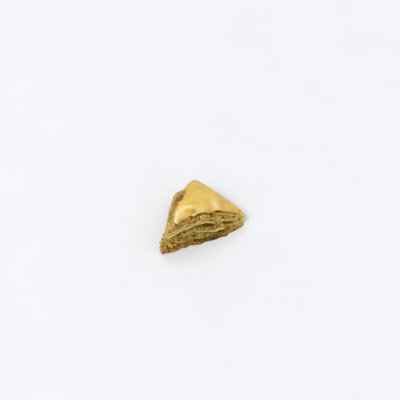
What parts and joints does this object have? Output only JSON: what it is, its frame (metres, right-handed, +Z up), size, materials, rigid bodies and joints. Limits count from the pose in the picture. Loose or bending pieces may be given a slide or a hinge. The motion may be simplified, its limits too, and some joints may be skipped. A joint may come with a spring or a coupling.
{
  "type": "baklava piece",
  "caption": "Triangular piece of pistachio baklava with a domed glazed pastry top, a nut filling cut open at the front, and a browned pastry base.",
  "frame": {"origin": "middle of the outline's box, on the surface that the piece stands on", "axes": "+X along the long cut face, which looks along -Y; +Z up through the layers"},
  "size_m": [0.0747, 0.0527, 0.0299],
  "materials": {
    "browned_pastry": "matte",
    "pistachio_filling": "matte",
    "glazed_pastry": "satin"
  },
  "bodies": {
    "root": {"base_pastry": "browned_pastry", "nut_filling": "pistachio_filling", "top_pastry": "glazed_pastry"}
  },
  "joints": []
}
